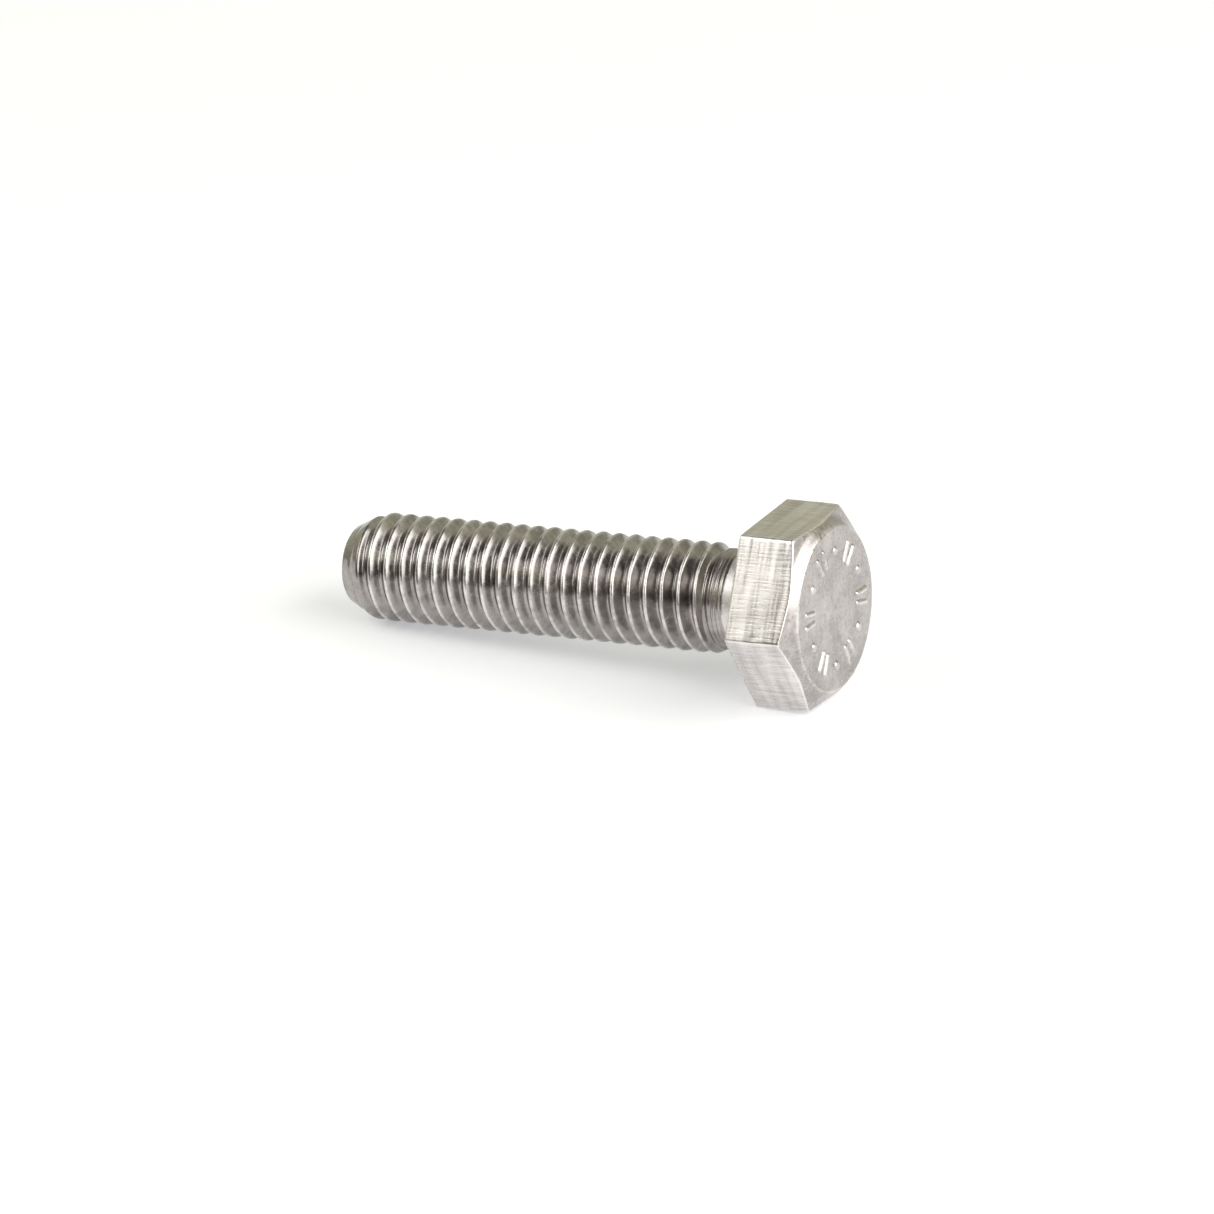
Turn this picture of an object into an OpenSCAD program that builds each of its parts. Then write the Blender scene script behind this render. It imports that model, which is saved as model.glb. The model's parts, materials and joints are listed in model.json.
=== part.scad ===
// Hex bolt, M6 x 1 x 25, threaded to the head. The real one is a single piece of steel:
// the head is forged and the thread is rolled on the same blank, so it is one solid here too.
// The axis lies along X with the head towards +X, and the origin is the centre of the
// bearing face under the head. Two of the six flats face straight up and straight down.

/* [Thread] */
// Diameter over the thread crests
thread_d = 5.97; // [5.8:0.01:6]
// Axial distance from one crest to the next
pitch = 1; // [0.9:0.05:1.1]
// Length from the bearing face to the tip
bolt_length = 25.3; // [16:0.1:30]
// Distance from the bearing face to the last full thread
full_thread_start = 2.9; // [2.7:0.1:4]
// Diameter of the flat at the tip
tip_d = 4.3; // [3.6:0.05:4.4]
// Angle between the tip's chamfer and the axis
tip_angle = 28; // [25:1:45]

/* [Neck] */
// Length of the plain neck, from the bearing face to where the thread has run out
neck_length = 1.6; // [1.2:0.1:1.8]
// Radius of the fillet between the neck and the head
fillet_r = 0.4; // [0.3:0.05:0.6]

/* [Head] */
// Width across the flats
head_af = 9.8; // [9.8:0.1:11]
// Height from the bearing face to the end face
head_h = 3.85; // [3.4:0.05:4.5]
// Diameter of the flat end face
end_face_d = 8.9; // [8.4:0.1:9.2]
// Height of the steep shoulder round the end face
shoulder_h = 0.45; // [0.3:0.05:0.6]
// Angle of the crowned chamfer to the end face, where it meets the shoulder
chamfer_angle = 18; // [12:1:25]

/* [Hidden] */

$fn = 96;

// Basic 60 degree thread profile, in pitches: how far below the crest the flanks end, how
// far the rounded root goes, and the widths of root and crest. Each flank spans the rest.
flank_depth = 0.5413 * pitch;
root_depth = 0.6134 * pitch;
root_width = 0.25;
crest_width = 0.125;
flank_width = (1 - root_width - crest_width) / 2;

// One pitch of the profile, from a crest to the next: [fraction of a pitch, depth]
profile = [
    [0, 0],
    [crest_width, 0],
    [crest_width + flank_width, flank_depth],
    [crest_width + flank_width + root_width / 2, root_depth],
    [crest_width + flank_width + root_width, flank_depth]
];
points_a_station = len(profile);

crest_r = thread_d / 2;
// A rolled thread runs out onto its blank, which has the thread's pitch diameter
neck_r = crest_r - 0.3248 * pitch;
// The thread's end is buried this much below the neck's surface
bury = 0.02;
// How far tools and buried ends reach past the surface that they cut or join
clear = 1;

// Stations in one turn of the helix
turn_steps = 32;
// The helix starts beyond the tip, which cuts it back. All of its upper end is inside the
// neck and the head, above helix_end. The shift sets which side of the bolt the thread ends on.
helix_shift = 0.13;
helix_start = helix_shift - pitch * (ceil(bolt_length / pitch) + 2);
helix_end = 0.2 - neck_length;
turns = ceil((helix_end - helix_start) / pitch);
last = turns * turn_steps;

// The thread begins to fade at the last full thread and is gone just short of the neck
fade_end = -neck_length - 0.1;
fade_length = full_thread_start + fade_end;

// Length of the tip's chamfer along the axis
tip_chamfer = (crest_r - tip_d / 2) / tan(tip_angle);

hex_r = head_af / sqrt(3);
// The shoulder's foot lies just inside the flats, and the chamfer is part of a sphere that
// passes through its foot
shoulder_r = head_af / 2 - 0.05;
shoulder_z = head_h - shoulder_h;
crown_r = shoulder_r / sin(chamfer_angle);
crown_z = shoulder_z - crown_r * cos(chamfer_angle);

// How much of the thread's form is left at height z: 1 on the full thread, 0 at the neck
function thread_form(z) = min(1, max(0, (fade_end - z) / fade_length));

// Point p of the profile at station s of the helix
function helix_point(s, p) =
    let (
        z = helix_start + pitch * (s / turn_steps + profile[p][0]),
        full_r = crest_r - profile[p][1],
        end_r = neck_r - bury,
        r = end_r + (full_r - end_r) * thread_form(z),
        a = 360 * s / turn_steps
    )
    [r * cos(a), r * sin(a), z];

function index(s, p) = s * points_a_station + p;

// Rolled thread: the profile swept along the helix, each turn joined to the next one
module thread_helix() {
    root = points_a_station - 1;
    swept = [for (s = [0 : last], p = [0 : root]) helix_point(s, p)];
    low_centre = len(swept);
    high_centre = low_centre + 1;
    centres = [[0, 0, swept[0][2]], [0, 0, swept[len(swept) - 1][2]]];
    along = [
        for (s = [0 : last - 1], p = [0 : root - 1])
        let (a = index(s, p), b = index(s + 1, p))
        each [[a, a + 1, b + 1], [a, b + 1, b]]
    ];
    between_turns = [
        for (s = [0 : last - turn_steps - 1])
        let (
            a = index(s, root),
            b = index(s + 1, root),
            c = index(s + turn_steps, 0),
            d = index(s + turn_steps + 1, 0)
        )
        each [[a, c, d], [a, d, b]]
    ];
    low_end = [
        for (s = [0 : turn_steps - 1]) [low_centre, index(s, 0), index(s + 1, 0)],
        for (p = [0 : root - 1]) [low_centre, index(0, p + 1), index(0, p)],
        [low_centre, index(turn_steps, 0), index(0, root)]
    ];
    high_end = [
        for (s = [last - turn_steps : last - 1])
        [high_centre, index(s + 1, root), index(s, root)],
        for (p = [0 : root - 1]) [high_centre, index(last, p), index(last, p + 1)],
        [high_centre, index(last - turn_steps, root), index(last, 0)]
    ];
    polyhedron(concat(swept, centres), concat(along, between_turns, low_end, high_end));
}

// What the thread is cut back to: a flat tip with a conical chamfer
module tip_envelope() {
    rotate_extrude()
        polygon([
            [0, -bolt_length],
            [tip_d / 2, -bolt_length],
            [crest_r, -bolt_length + tip_chamfer],
            [crest_r + clear, -bolt_length + tip_chamfer + clear],
            [crest_r + clear, clear],
            [0, clear]
        ]);
}

// Plain neck that flares into the bearing face
module neck() {
    translate([0, 0, -neck_length])
        cylinder(h = neck_length + clear, r = neck_r);
    rotate_extrude()
        difference() {
            translate([neck_r - bury, -fillet_r])
                square([fillet_r + bury, fillet_r + clear]);
            translate([neck_r + fillet_r, -fillet_r])
                circle(r = fillet_r);
        }
}

// Half of the head's outline if it were round: crowned chamfer, shoulder and end face
module head_outline() {
    intersection() {
        translate([0, crown_z])
            circle(r = crown_r, $fn = 360);
        square([hex_r + clear, shoulder_z]);
    }
    polygon([
        [0, 0],
        [shoulder_r, 0],
        [shoulder_r, shoulder_z],
        [end_face_d / 2, head_h],
        [0, head_h]
    ]);
}

// Hexagon with a flat facing +Z and -Z once it lies down, cut to the outline
module head() {
    intersection() {
        rotate([0, 0, 30])
            cylinder(h = head_h, r = hex_r, $fn = 6);
        rotate_extrude()
            head_outline();
    }
}

module bolt() {
    color([0.68, 0.66, 0.64])
        rotate([0, 90, 0]) {
            intersection() {
                thread_helix();
                tip_envelope();
            }
            neck();
            head();
        }
}

bolt();
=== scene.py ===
"""Hex bolt, M6 x 1 x 25: one piece of stainless steel lying on a pale floor.

Metres, in the frame of the CAD model: the axis along X with the head towards +X, and the
origin in the bearing face under the head. Lengths on the bolt are worked out in millimetres.
"""
import json
import math

import bmesh
import bpy
import numpy as np
from mathutils import Matrix, Vector


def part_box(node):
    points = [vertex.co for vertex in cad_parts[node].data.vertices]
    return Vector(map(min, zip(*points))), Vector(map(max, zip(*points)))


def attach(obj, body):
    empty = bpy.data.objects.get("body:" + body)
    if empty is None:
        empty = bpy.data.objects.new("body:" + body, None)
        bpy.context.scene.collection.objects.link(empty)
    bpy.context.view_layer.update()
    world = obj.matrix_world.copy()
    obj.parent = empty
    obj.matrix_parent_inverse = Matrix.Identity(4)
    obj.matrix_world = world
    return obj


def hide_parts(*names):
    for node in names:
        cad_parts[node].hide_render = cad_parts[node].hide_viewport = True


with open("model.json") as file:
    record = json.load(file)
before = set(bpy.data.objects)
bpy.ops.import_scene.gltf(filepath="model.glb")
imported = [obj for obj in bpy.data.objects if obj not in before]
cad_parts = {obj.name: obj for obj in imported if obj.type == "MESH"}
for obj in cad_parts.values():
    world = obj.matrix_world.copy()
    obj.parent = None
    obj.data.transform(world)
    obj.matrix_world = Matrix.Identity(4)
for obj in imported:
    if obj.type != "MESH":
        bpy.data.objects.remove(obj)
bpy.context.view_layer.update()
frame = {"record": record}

MM = 0.001
rng = np.random.default_rng(7)


# ---------------------------------------------------------------- sizes, in millimetres

# The frame gives the bolt's box and its crest radius. The other sizes of this block repeat
# those of part.scad.
low, high = (np.array(corner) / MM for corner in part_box("bolt"))
thread_mount = next(m for m in frame["record"]["mounts"] if m["name"] == "thread")

LENGTH = -low[0]
HEAD_H = high[0]
HALF_AF = high[2]
CREST_R = thread_mount["dims"]["r_mm"]
PITCH = 1.0
NECK_R = CREST_R - 0.3248 * PITCH
FILLET_R = 0.4
END_FACE_R = 4.45
SHOULDER_H = 0.45
SHOULDER_R = HALF_AF - 0.05
SHOULDER_X = HEAD_H - SHOULDER_H
CHAMFER_ANGLE = math.radians(18)
CROWN_R = SHOULDER_R / math.sin(CHAMFER_ANGLE)
CROWN_X = SHOULDER_X - CROWN_R * math.cos(CHAMFER_ANGLE)
TIP_R = 2.15
TIP_ANGLE = math.radians(28)
THREAD_SHIFT = 0.1925    # where a crest crosses the lowest line of the bolt, in pitches

# The run-out, as only the visual model has it: the thread's form fades over the first
# stretch, and fine ridges that the rolling dies' ends leave follow it up to the plain neck
FADE_START, FADE_END = -3.05, -2.45
RIDGES_START, RIDGES_END = -2.63, -1.6
RIDGE_STEP = 0.25
RIDGE_H = 0.07
RIDGES_BLEND = 0.1       # how far the ridges take to grow or fade at either end


# ---------------------------------------------------------------- small helpers

def smooth_step(x, start, end):
    t = np.clip((x - start) / (end - start), 0, 1)
    return t * t * (3 - 2 * t)


def smooth_max(a, b, k):
    """The larger of two values, rounded off where they are within k of each other."""
    overlap = np.maximum(k - np.abs(a - b), 0)
    return np.maximum(a, b) + overlap * overlap / (4 * k)


def smooth_min(a, b, k):
    return -smooth_max(-a, -b, k)


class Waves:
    """A smooth random field: a sum of seeded plane waves, of about unit size."""

    def __init__(self, wavelength, count=14):
        turn = rng.normal(size=(count, 3))
        turn /= np.linalg.norm(turn, axis=1)[:, None]
        spread = rng.uniform(0.7, 1.6, (count, 1))
        self.k = turn * spread * 2 * math.pi / wavelength
        self.phase = rng.uniform(0, 2 * math.pi, count)

    def __call__(self, points):
        return np.sin(points @ self.k.T + self.phase).sum(-1) / math.sqrt(len(self.phase) / 2)


def polar(x, r, angle):
    """Points at height x along the axis; angle 0 points down, as in the CAD model."""
    x, r, angle = np.broadcast_arrays(x, r, angle)
    return np.stack([x, r * np.sin(angle), -r * np.cos(angle)], -1)


class Skin:
    """Collects vertices with their wear and painted highlight, and faces with the number of
    their material.
    """

    def __init__(self):
        self.points = []
        self.wear_and_highlight = []
        self.faces = []
        self.zones = []

    def add(self, points, wear_and_highlight=0.0):
        """Adds points of any array shape and returns their indices in that shape.

        The wear value is 1 where the steel is painted brightest, partly as rubbed by use and
        partly as a painted highlight.
        """
        first = sum(len(p) for p in self.points)
        self.points.append(points.reshape(-1, 3))
        self.wear_and_highlight.append(np.broadcast_to(wear_and_highlight, points.shape[:-1]).ravel())
        return first + np.arange(points[..., 0].size).reshape(points.shape[:-1])

    def cover(self, faces, zone):
        self.faces += faces.tolist()
        self.zones += [zone] * len(faces)

    def join(self, low_ring, high_ring, zone):
        """Joins two rings that start at one angle; one may have twice as many points."""
        if len(low_ring) == len(high_ring):
            quads = [low_ring, np.roll(low_ring, -1), np.roll(high_ring, -1), high_ring]
            self.cover(np.stack(quads, -1), zone)
            return
        few, many = sorted((low_ring, high_ring), key=len)
        after, even, odd = np.roll(few, -1), many[0::2], many[1::2]
        for corners in ([few, odd, even], [few, after, odd], [after, np.roll(even, -1), odd]):
            self.cover(np.stack(corners, -1), zone)

    def close(self, ring, centre, zone):
        self.cover(np.stack([ring, np.roll(ring, -1), np.full_like(ring, centre)], -1), zone)


# ---------------------------------------------------------------- the thread and neck

TURN = 96                # points round the thread
ROWS = 24                # rows in one pitch
ROW_CROWDING = 0.75      # 0 spaces the rows evenly, and 1 would draw them onto the crest
NECK_RING = -1.0         # where the thread's skin hands over to the head's

ROOT_DEPTH = 0.6134 * PITCH
FLANK_SLOPE = 1 / math.tan(math.radians(30))
CREST_HALF = 0.07 * PITCH
CREST_ROUND, ROOT_ROUND = 0.08, 0.3

# The dies fill the thread less towards the tip, so the crests there are rounder
SOFT_DEPTH = 0.46 * PITCH
SOFT_SHARE = 0.85        # how much of the round form there is at SOFT_END
SOFT_START, SOFT_END = -4.0, -19.0

# The seam on the crests, whose half width is in pitches
SEAM_HALF, SEAM_DEPTH = 0.022, 0.035
SEAM_START, SEAM_FULL = -19.0, -12.0

CONE_ROUND = 0.16        # rounding between the tip's chamfer and the thread
TIP_ROUND = 0.14         # height of the rounded rim of the tip
RIM_WIDTH = 1.4 * TIP_ROUND
TIP_HOLLOW = 0.22
ROLLED_WAVE, TIP_WAVE = 0.006, 0.01

CREST_WEAR_AND_HIGHLIGHT_DEPTH = 0.045       # how far below the crest its wear and painted highlight reach
CREST_WEAR_AND_HIGHLIGHT = 0.8

# Zones of the bolt, each with a finish of its own
ROLLED, NECK, PRESSED, TRIMMED = range(4)

rolled_waves = Waves(1.6)
pressed_waves = Waves(2.2)


def thread_depth(phase, x):
    """Depth below the crest. phase is the distance from the crest in pitches, -0.5 to 0.5."""
    flank = (np.abs(phase) * PITCH - CREST_HALF) * FLANK_SLOPE
    sharp = smooth_min(smooth_max(flank, 0.0, CREST_ROUND), ROOT_DEPTH, ROOT_ROUND)
    soft = SOFT_DEPTH * (1 - np.cos(math.tau * phase)) / 2
    return sharp + (soft - sharp) * SOFT_SHARE * smooth_step(x, SOFT_START, SOFT_END)


def thread_radius(x, phase, angle):
    """Radius of the thread, run-out, neck and tip chamfer."""
    seam = np.exp(-(phase / SEAM_HALF) ** 2) * smooth_step(x, SEAM_START, SEAM_FULL)
    full = CREST_R - thread_depth(phase, x) - SEAM_DEPTH * seam
    form = smooth_step(x, FADE_END, FADE_START)
    radius = NECK_R + (full - NECK_R) * form

    # Ridges of the run-out, which climb by one ridge a turn
    along = x - RIDGE_STEP * angle / math.tau
    ridge = 0.5 + 0.5 * np.cos(math.tau * (along - RIDGES_START) / RIDGE_STEP)
    share = smooth_step(x, RIDGES_START - RIDGES_BLEND, RIDGES_START + RIDGES_BLEND)
    share = share * smooth_step(x, RIDGES_END, RIDGES_END - RIDGES_BLEND)
    radius = radius + RIDGE_H * ridge ** 2 * share

    cone = TIP_R + (x + LENGTH) * math.tan(TIP_ANGLE)
    return smooth_min(radius, cone, CONE_ROUND)


def rolled(x, r, angle):
    """Points at radius r, moved by the slight waves of a rolled surface."""
    return polar(x, r + ROLLED_WAVE * rolled_waves(polar(x, r, angle)), angle)


def add_thread(skin):
    """The thread, swept along its helix, and the neck."""
    turns = math.ceil(LENGTH) + 3
    step = np.arange(turns * ROWS) / ROWS
    # Rows crowd towards each crest, where the surface bends most
    step = step - ROW_CROWDING * np.sin(math.tau * step) / math.tau
    angle = np.arange(TURN) * math.tau / TURN
    start = PITCH * (THREAD_SHIFT - math.ceil(LENGTH) - 2)
    free = start + PITCH * (step[:, None] + angle / math.tau)
    # What lies past either end is drawn back onto its ring, where build_bolt merges it
    x = np.clip(free, -LENGTH + TIP_ROUND, NECK_RING)
    phase = (x - start) / PITCH - angle / math.tau
    phase = phase - np.round(phase)
    radius = thread_radius(x, phase, angle)
    # The crests are painted brighter: partly wear, partly a painted highlight
    wear_and_highlight = CREST_WEAR_AND_HIGHLIGHT * np.exp(-((CREST_R - radius) / CREST_WEAR_AND_HIGHLIGHT_DEPTH) ** 2)
    index = skin.add(rolled(x, radius, angle), wear_and_highlight)

    # One turn on, a row meets the row one pitch higher
    below, above = index[:-ROWS - 1], index[1:-ROWS]
    quads = np.stack([below[:, :-1], below[:, 1:], above[:, 1:], above[:, :-1]], -1)
    next_below, next_above = index[ROWS:-1], index[ROWS + 1:]
    seam = np.stack([below[:, -1], next_below[:, 0], next_above[:, 0], above[:, -1]], -1)
    quads = np.concatenate([quads.reshape(-1, 4), seam])
    middle = skin.points[-1][quads - index[0, 0]][:, :, 0].mean(1)
    skin.cover(quads[middle > RIDGES_END], NECK)
    skin.cover(quads[middle <= RIDGES_END], ROLLED)


def add_tip(skin):
    """Rounded rim and slightly hollow end of the tip, which rolling leaves."""
    angle = np.arange(TURN) * math.tau / TURN
    start = -LENGTH + TIP_ROUND
    rim = thread_radius(start, 0.5, 0.0)
    last = skin.add(rolled(start, rim, angle))
    for turn in np.linspace(0, math.pi / 2, 7)[1:]:
        radius = rim - RIM_WIDTH * (1 - math.cos(turn))
        ring = skin.add(rolled(-LENGTH + TIP_ROUND * (1 - math.sin(turn)), radius, angle))
        skin.join(ring, last, ROLLED)
        last = ring
    inner = rim - RIM_WIDTH
    for r in np.linspace(inner, 0, 16)[1:-1]:
        points = polar(-LENGTH + TIP_HOLLOW * smooth_step(r, inner, inner / 4), r, angle)
        points[:, 0] += TIP_WAVE * rolled_waves(points)
        ring = skin.add(points)
        skin.join(ring, last, ROLLED)
        last = ring
    centre = skin.add(np.array([[-LENGTH + TIP_HOLLOW, 0.0, 0.0]]))
    skin.close(last, centre[0], ROLLED)


# ---------------------------------------------------------------- the head

AROUND = 192             # points round the head
AROUND_MARKS = 384       # points round the marked part of the end face
POINT_CROWDING = 0.8     # 0 spaces the points evenly, and 1 would draw them to the corners
CORNER_ROUND = 0.02      # as a difference between the cosines that hexagon compares
BEARING_EDGE = 0.13      # reach of the rounded edge between the bearing face and the sides
CHAMFER_EDGE = 0.06      # reach of the rounded edge between the sides and the chamfer,
CHAMFER_REACH = 1.2 * CHAMFER_EDGE    # down the sides and then inwards
SIDE_LEAN = 0.03         # how far the sides lean in towards the chamfer
SHOULDER_ROUND, FACE_ROUND = 0.14, 0.16
FACE_HOLLOW = 0.06
HOLLOW_R = 1.0           # the end face is deepest inside this radius
FACE_RING = END_FACE_R - 0.35         # where head_rings ends
FACE_RINGS = np.arange(END_FACE_R - 0.4, 0.3, -0.065)    # the rings that follow it
PRESSED_WAVE, FACE_WAVE = 0.004, 0.006
# The rim of the end face is painted brighter: partly wear, partly a painted highlight
RIM_WEAR_AND_HIGHLIGHT_WIDTH, RIM_WEAR_AND_HIGHLIGHT = 0.06, 0.7

# The raised marks: pairs of bars on a circle, with a dot between the pairs
MARKS = 6
MARK_R, MARK_H = 3.1, 0.11
FIRST_MARK = 0.35        # where the first pair stands, in sixths of a turn
BAR_LENGTH, BAR_WIDTH, DOT_WIDTH = 1.0, 0.2, 0.4
BAR_TURN = 0.1           # angle between the middle of a pair and either of its bars
SLOPE_OUT, SLOPE_IN = 0.1, 0.04
MARKED_R = MARK_R - 0.9 * BAR_LENGTH    # every mark lies outside this radius
# The tops of the marks are painted brighter: partly wear, partly a painted highlight
MARK_WEAR_AND_HIGHLIGHT = 0.6


def hexagon(angle):
    """Radius of the hexagon with its slightly rounded corners, and the wear and painted
    highlight of those.

    Angle 0 is mid-flat.
    """
    turn = (angle + math.pi / 6) % (math.pi / 3) - math.pi / 6
    this_flat, next_flat = np.cos(turn), np.cos(math.pi / 3 - np.abs(turn))
    # The corners are painted brighter: partly wear, partly a painted highlight
    wear_and_highlight = np.exp(-((this_flat - next_flat) / CORNER_ROUND) ** 2)
    return HALF_AF / smooth_max(this_flat, next_flat, CORNER_ROUND), wear_and_highlight


def end_height(r):
    """Height of the chamfer, shoulder and end face at radius r."""
    crown = CROWN_X + np.sqrt(CROWN_R ** 2 - r ** 2)
    shoulder = SHOULDER_X + (SHOULDER_R - r) * SHOULDER_H / (SHOULDER_R - END_FACE_R)
    face = HEAD_H - FACE_HOLLOW * smooth_step(r, END_FACE_R, HOLLOW_R)
    return smooth_min(smooth_max(crown, shoulder, SHOULDER_ROUND), face, FACE_ROUND)


def bar(y, z, angle, length, width):
    """1 on a radial bar with round ends, falling to 0 just outside it.

    A bar with no length is a dot.
    """
    out_y, out_z = math.sin(angle), -math.cos(angle)
    along = y * out_y + z * out_z - MARK_R
    across = y * out_z - z * out_y
    past = np.maximum(np.abs(along) - length / 2, 0)
    return smooth_step(np.hypot(past, across), width / 2 + SLOPE_OUT, width / 2 - SLOPE_IN)


def marks(y, z):
    """1 on the plain raised marks and 0 beside them."""
    shape = np.zeros_like(y)
    for n in range(MARKS):
        angle = math.tau * (n + FIRST_MARK) / MARKS
        for side in (-BAR_TURN, BAR_TURN):
            shape = np.maximum(shape, bar(y, z, angle + side, BAR_LENGTH, BAR_WIDTH))
        shape = np.maximum(shape, bar(y, z, angle + math.pi / MARKS, 0, DOT_WIDTH))
    return shape


def bent(start, corner, end):
    """A rounded edge: x, radius and wear with painted highlight along a quadratic curve by way
    of corner.
    """
    for t in np.linspace(0, 1, 6):
        u = 1 - t
        x, r = (u * u * a + 2 * u * t * b + t * t * c for a, b, c in zip(start, corner, end))
        yield x, r, 4 * u * t


def head_rings():
    """Rings from the neck to the marked part of the end face.

    Each is its height x, radius, angle, wear with painted highlight, and zone.
    """
    even = np.arange(AROUND) * math.tau / AROUND
    # Points crowd towards the corners, which are in the middle between two flats
    crowded = even + POINT_CROWDING * np.sin(6 * even) / 6
    outline, corner_wear_and_highlight = hexagon(crowded)

    # The neck and its fillet
    for x in (-0.8, -0.6):
        yield x, NECK_R, even, 0, NECK
    for turn in np.linspace(0, math.pi / 2, 9):
        x = FILLET_R * (math.sin(turn) - 1)
        yield x, NECK_R + FILLET_R * (1 - math.cos(turn)), even, 0, NECK

    # The bearing face and its rounded edge
    inner = NECK_R + FILLET_R
    for t in np.linspace(0, 1, 13)[1:-1]:
        radius = inner + (outline - BEARING_EDGE - inner) * t
        yield 0, radius, even + (crowded - even) * smooth_step(t, 0, 1), 0, PRESSED

    start, end = (0, outline - BEARING_EDGE), (BEARING_EDGE, outline)
    for x, radius, wear_and_highlight in bent(start, (0, outline), end):
        yield x, radius, crowded, wear_and_highlight, PRESSED

    # The sides and their rounded edge
    top = end_height(outline)
    for t in np.linspace(0, 1, 25)[1:-1]:
        x = BEARING_EDGE + (top - CHAMFER_EDGE - BEARING_EDGE) * t
        yield x, outline - SIDE_LEAN * t * t, crowded, corner_wear_and_highlight, TRIMMED

    upper = outline - SIDE_LEAN
    within = upper - CHAMFER_REACH
    start, end = (top - CHAMFER_EDGE, upper), (end_height(within), within)
    for x, radius, wear_and_highlight in bent(start, (top, upper), end):
        yield x, radius, crowded, np.maximum(wear_and_highlight, corner_wear_and_highlight), TRIMMED

    # The chamfer, the shoulder and the rim of the end face
    for t in np.linspace(0, 1, 22)[1:]:
        radius = within + (FACE_RING - within) * t
        wear_and_highlight = RIM_WEAR_AND_HIGHLIGHT * np.exp(-((radius - END_FACE_R) / RIM_WEAR_AND_HIGHLIGHT_WIDTH) ** 2)
        yield end_height(radius), radius, crowded + (even - crowded) * t, wear_and_highlight, PRESSED


def add_head(skin):
    """The head, from the neck up to the middle of its end face."""
    angle = np.arange(TURN) * math.tau / TURN
    last = skin.add(rolled(NECK_RING, thread_radius(NECK_RING, 0.5, angle), angle))
    for x, radius, angle, wear_and_highlight, zone in head_rings():
        points = polar(x, radius, angle)
        wave = PRESSED_WAVE * pressed_waves(points)[:, None]
        # The waves move the sides outwards and the rest along the axis
        points += wave * (points / HALF_AF if zone == TRIMMED else (1, 0, 0))
        ring = skin.add(points, wear_and_highlight)
        skin.join(last, ring, zone)
        last = ring

    for r in FACE_RINGS:
        count = AROUND_MARKS if r > MARKED_R else AROUND
        angle = np.arange(count) * math.tau / count
        points = polar(end_height(r), r, angle)
        raised = marks(points[:, 1], points[:, 2])
        points[:, 0] += MARK_H * raised + FACE_WAVE * pressed_waves(points)
        ring = skin.add(points, MARK_WEAR_AND_HIGHLIGHT * raised)
        skin.join(last, ring, PRESSED)
        last = ring
    centre = skin.add(np.array([[end_height(0.0), 0.0, 0.0]]))
    skin.close(last, centre[0], PRESSED)


# ---------------------------------------------------------------- the bolt

MERGE = 0.0008           # points closer than this become one
NICKS = 70
NICK_REACH = (0.05, 0.14)
NICK_STEEPNESS = (0.05, 0.18)
NICK_STRETCH = (0.4, 1.0)


def nicked(points, normals):
    """Points with small seeded dents, pushed in along the surface's normals."""
    points = points.copy()
    for centre in points[rng.integers(0, len(points), NICKS)]:
        reach = rng.uniform(*NICK_REACH)
        depth = reach * rng.uniform(*NICK_STEEPNESS)
        stretch = rng.uniform(*NICK_STRETCH, 3)
        apart = np.linalg.norm((points - centre) * stretch, axis=1)
        points -= normals * (depth * np.exp(-(apart / reach) ** 2))[:, None]
    return points


def build_bolt(materials):
    """The whole bolt as one mesh. The wear attribute paints edges and crests brighter in its
    materials: partly wear, partly a painted highlight.
    """
    skin = Skin()
    add_thread(skin)
    add_tip(skin)
    add_head(skin)
    mesh = bpy.data.meshes.new("bolt_steel")
    mesh.from_pydata(np.concatenate(skin.points) * MM, [], skin.faces)
    mesh.polygons.foreach_set("material_index", skin.zones)
    wear_and_highlight = mesh.attributes.new("wear_and_highlight", "FLOAT", "POINT")
    wear_and_highlight.data.foreach_set("value", np.concatenate(skin.wear_and_highlight))
    work = bmesh.new()
    work.from_mesh(mesh)
    bmesh.ops.remove_doubles(work, verts=work.verts, dist=MERGE * MM)
    bmesh.ops.recalc_face_normals(work, faces=work.faces)
    work.to_mesh(mesh)
    work.free()

    points = np.array([v.co for v in mesh.vertices]) / MM
    normals = np.array([v.normal for v in mesh.vertices])
    mesh.vertices.foreach_set("co", (nicked(points, normals) * MM).ravel())
    for material in materials:
        mesh.materials.append(material)
    mesh.shade_smooth()
    bolt = bpy.data.objects.new("bolt_steel", mesh)
    bpy.context.collection.objects.link(bolt)
    return bolt


# ---------------------------------------------------------------- materials

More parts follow.
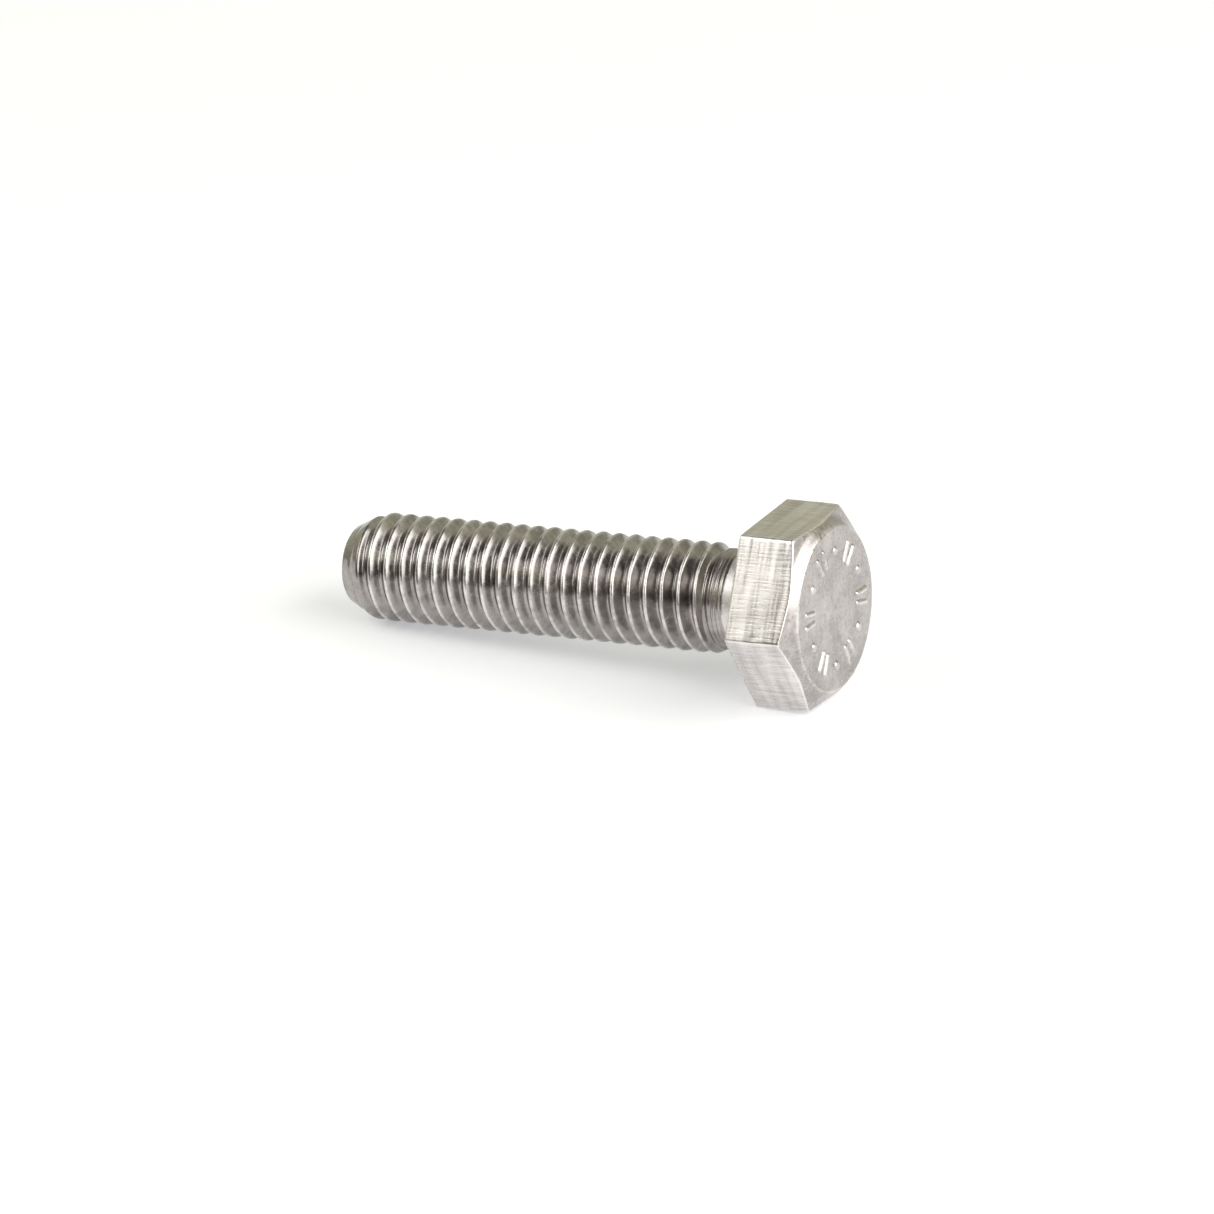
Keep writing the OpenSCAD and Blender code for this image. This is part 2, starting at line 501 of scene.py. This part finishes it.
class Nodes:
    """Makes the shader nodes of one material or world."""

    def __init__(self, owner):
        owner.use_nodes = True
        self.tree = owner.node_tree
        self.tree.nodes.clear()

    def put(self, value, socket):
        if isinstance(value, bpy.types.NodeSocket):
            self.tree.links.new(value, socket)
        else:
            socket.default_value = value

    def make(self, kind, **inputs):
        node = self.tree.nodes.new("ShaderNode" + kind)
        for name, value in inputs.items():
            self.put(value, node.inputs[name.replace("_", " ")])
        return node

    def math(self, operation, a, b):
        node = self.make("Math")
        node.operation = operation
        self.put(a, node.inputs[0])
        self.put(b, node.inputs[1])
        return node.outputs[0]

    def spread(self, value, start, end, to_start, to_end):
        """value taken from start..end to to_start..to_end and held at both ends."""
        node = self.make(
            "MapRange", Value=value, From_Min=start, From_Max=end, To_Min=to_start,
            To_Max=to_end,
        )
        return node.outputs["Result"]

    def ramp(self, value, *stops):
        """A colour ramp with stops of (position, colour)."""
        node = self.make("ValToRGB", Fac=value)
        elements = node.color_ramp.elements
        while len(elements) < len(stops):
            elements.new(0.5)
        for element, (position, colour) in zip(elements, stops):
            element.position = position
            element.color = (*colour, 1)
        return node.outputs["Color"]

    def blend(self, factor, start, end):
        """The colour start where factor is 0 and end where it is 1."""
        node = self.make("Mix")
        node.data_type = "RGBA"
        # A Mix node has sockets for every data type: these are its factor and its colours
        for number, value in ((0, factor), (6, start), (7, end)):
            self.put(value, node.inputs[number])
        return node.outputs[2]


# Colour of rubbed steel, painted on edges and crests both as wear and as a painted highlight
WORN_AND_HIGHLIGHT_COLOUR = (0.86, 0.84, 0.83, 1)

# Most of the sum of the two noises lies in this range
NOISE_LOW, NOISE_HIGH = 0.75, 1.25


def steel(name, dark, light, rough, broad, fine):
    """Bare steel whose colour, roughness and relief follow a broad and a fine noise.

    rough is the lowest and highest roughness. Each noise is given as its scale per metre,
    its stretch along X, Y and Z, and its depth in metres. Edges and crests are painted
    brighter, partly as rubbed by wear and partly as a painted highlight.
    """
    material = bpy.data.materials.new(name)
    nodes = Nodes(material)
    place = nodes.make("TexCoord").outputs["Object"]
    layers, relief = [], None
    for (scale, stretch, depth), detail in ((broad, 2.0), (fine, 6.0)):
        stretched = nodes.make("Mapping", Vector=place, Scale=stretch).outputs["Vector"]
        noise = nodes.make(
            "TexNoise", Vector=stretched, Scale=scale, Detail=detail, Roughness=0.6,
        )
        layers.append(noise.outputs["Fac"])
        bump = nodes.make("Bump", Height=layers[-1], Distance=depth, Strength=1.0)
        if relief is not None:
            nodes.put(relief, bump.inputs["Normal"])
        relief = bump.outputs["Normal"]
    total = nodes.math("ADD", *layers)
    share = nodes.spread(total, NOISE_LOW, NOISE_HIGH, 0.0, 1.0)
    colour = nodes.ramp(share, (0, dark), (1, light))
    # The wear attribute paints edges and crests bright: partly wear, partly a painted
    # highlight
    wear_and_highlight = nodes.make("Attribute")
    wear_and_highlight.attribute_name = "wear_and_highlight"
    patchy = nodes.spread(total, 0.8, 1.1, 0.35, 1.0)
    worn_and_lit = nodes.math("MULTIPLY", wear_and_highlight.outputs["Fac"], patchy)
    colour = nodes.blend(worn_and_lit, colour, WORN_AND_HIGHLIGHT_COLOUR)
    shader = nodes.make(
        "BsdfPrincipled", Base_Color=colour, Metallic=1.0, Normal=relief,
        Roughness=nodes.spread(total, NOISE_LOW, NOISE_HIGH, *rough),
    )
    nodes.make("OutputMaterial", Surface=shader.outputs["BSDF"])
    return material


def steel_finishes():
    """The finish of each zone, in the order of the zones' numbers."""
    even = (1, 1, 1)
    return [
        steel("rolled_steel", (0.28, 0.26, 0.25), (0.46, 0.43, 0.415), (0.16, 0.3),
              (700, even, 0.000008), (2600, (0.5, 1, 1), 0.000004)),
        steel("neck_steel", (0.66, 0.63, 0.615), (0.84, 0.81, 0.79), (0.36, 0.55),
              (1200, even, 0.00001), (9000, even, 0.000012)),
        steel("pressed_steel", (0.36, 0.335, 0.33), (0.6, 0.56, 0.55), (0.22, 0.4),
              (700, even, 0.00004), (5200, even, 0.000006)),
        steel("trimmed_steel", (0.46, 0.435, 0.43), (0.8, 0.765, 0.75), (0.18, 0.34),
              (1300, (1, 0.12, 0.12), 0.00006), (9000, (0.07, 1, 1), 0.000007)),
    ]


# ---------------------------------------------------------------- stage, lights and camera

MIDDLE = Vector((-0.5 * LENGTH, 0, 0)) * MM
FLOOR_SIZE = 3.0         # in metres, from the middle to an edge
LAST_TOUCH = 1.5         # the floor touches the thread this far from the tip
LIGHT_DISTANCE = 0.4     # in metres
DARK = (0.17, 0.155, 0.15, 1)


def add_floor():
    """A pale floor that touches the head's lowest edge and the thread near the tip.

    The bolt lies with its tip lower than its head, so the floor slopes in its frame.
    """
    size = FLOOR_SIZE
    corners = [(-size, -size, 0), (size, -size, 0), (size, size, 0), (-size, size, 0)]
    mesh = bpy.data.meshes.new("floor")
    mesh.from_pydata(corners, [], [(0, 1, 2, 3)])
    floor = bpy.data.objects.new("floor", mesh)
    floor.location = (0, 0, -HALF_AF * MM)
    floor.rotation_euler = (0, math.atan2(HALF_AF - CREST_R, LENGTH - LAST_TOUCH), 0)
    bpy.context.collection.objects.link(floor)

    material = bpy.data.materials.new("pale_floor")
    nodes = Nodes(material)
    shader = nodes.make(
        "BsdfPrincipled", Base_Color=(0.85, 0.85, 0.85, 1), Roughness=0.9,
        Emission_Color=(0.93, 0.95, 1, 1), Emission_Strength=0.36,
    )
    nodes.make("OutputMaterial", Surface=shader.outputs["BSDF"])
    mesh.materials.append(material)


def add_light(name, azimuth, elevation, width, height, radiance):
    """A softbox aimed at the middle of the bolt. Azimuth turns from +X towards +Y.

    width and height are in metres, and radiance is how bright its surface is.
    """
    azimuth, elevation = math.radians(azimuth), math.radians(elevation)
    data = bpy.data.lights.new(name, "AREA")
    data.shape = "RECTANGLE"
    data.size, data.size_y = width, height
    data.energy = radiance * math.pi * width * height
    light = bpy.data.objects.new(name, data)
    away = Vector((
        math.cos(azimuth) * math.cos(elevation),
        math.sin(azimuth) * math.cos(elevation),
        math.sin(elevation),
    ))
    light.location = MIDDLE + away * LIGHT_DISTANCE
    light.rotation_euler = away.to_track_quat("Z", "Y").to_euler()
    light.visible_camera = False
    bpy.context.collection.objects.link(light)


def set_world():
    """Soft studio surroundings, dark straight overhead and where the camera stands.

    The camera sees a plain white backdrop instead.
    """
    world = bpy.data.worlds.new("studio")
    bpy.context.scene.world = world
    nodes = Nodes(world)
    place = nodes.make("TexCoord").outputs["Generated"]
    compass = nodes.make("SeparateXYZ", Vector=place)
    sky = nodes.ramp(
        compass.outputs["Z"],
        (0.0, (0.4, 0.39, 0.35)),
        (0.3, (0.58, 0.58, 0.44)),
        (0.65, (0.6, 0.6, 0.48)),
        (1.0, (0.6, 0.59, 0.55)),
    )
    overhead = nodes.spread(compass.outputs["Z"], 0.7, 0.88, 0.0, 1.0)
    in_front = nodes.spread(compass.outputs["Y"], -0.65, -0.9, 0.0, 1.0)
    dark = nodes.math("MAXIMUM", overhead, in_front)
    colour = nodes.blend(dark, sky, DARK)
    light = nodes.make("Background", Color=colour, Strength=1.0)
    backdrop = nodes.make("Background", Color=(1, 1, 1, 1), Strength=1.0)
    mix = nodes.make("MixShader", Fac=nodes.make("LightPath").outputs["Is Camera Ray"])
    nodes.put(light.outputs[0], mix.inputs[1])
    nodes.put(backdrop.outputs[0], mix.inputs[2])
    nodes.make("OutputWorld", Surface=mix.outputs[0])


def add_camera():
    """A long lens that looks down on the bolt from in front of its head."""
    azimuth, elevation, roll = (math.radians(a) for a in (29.85, 20.79, 6.01))
    target = Vector((-9.96, -0.17, -1.09)) * MM
    distance = 351.2     # in millimetres
    back = Vector((
        math.sin(azimuth) * math.cos(elevation),
        -math.cos(azimuth) * math.cos(elevation),
        math.sin(elevation),
    ))
    data = bpy.data.cameras.new("camera")
    data.lens = 192.75
    data.clip_start, data.clip_end = 0.01, 10
    camera = bpy.data.objects.new("camera", data)
    camera.location = target + back * distance * MM
    aim = back.to_track_quat("Z", "Y").to_matrix().to_4x4()
    camera.rotation_euler = (aim @ Matrix.Rotation(-roll, 4, "Z")).to_euler()
    bpy.context.collection.objects.link(camera)
    bpy.context.scene.camera = camera


add_camera()
add_floor()
set_world()
add_light("key", -4, 28, 0.52, 0.36, 2.5)
add_light("front", -138, 48, 0.26, 0.22, 2.3)
bpy.context.scene.view_settings.view_transform = "Standard"

bolt = build_bolt(steel_finishes())
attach(bolt, "root")
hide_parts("bolt")
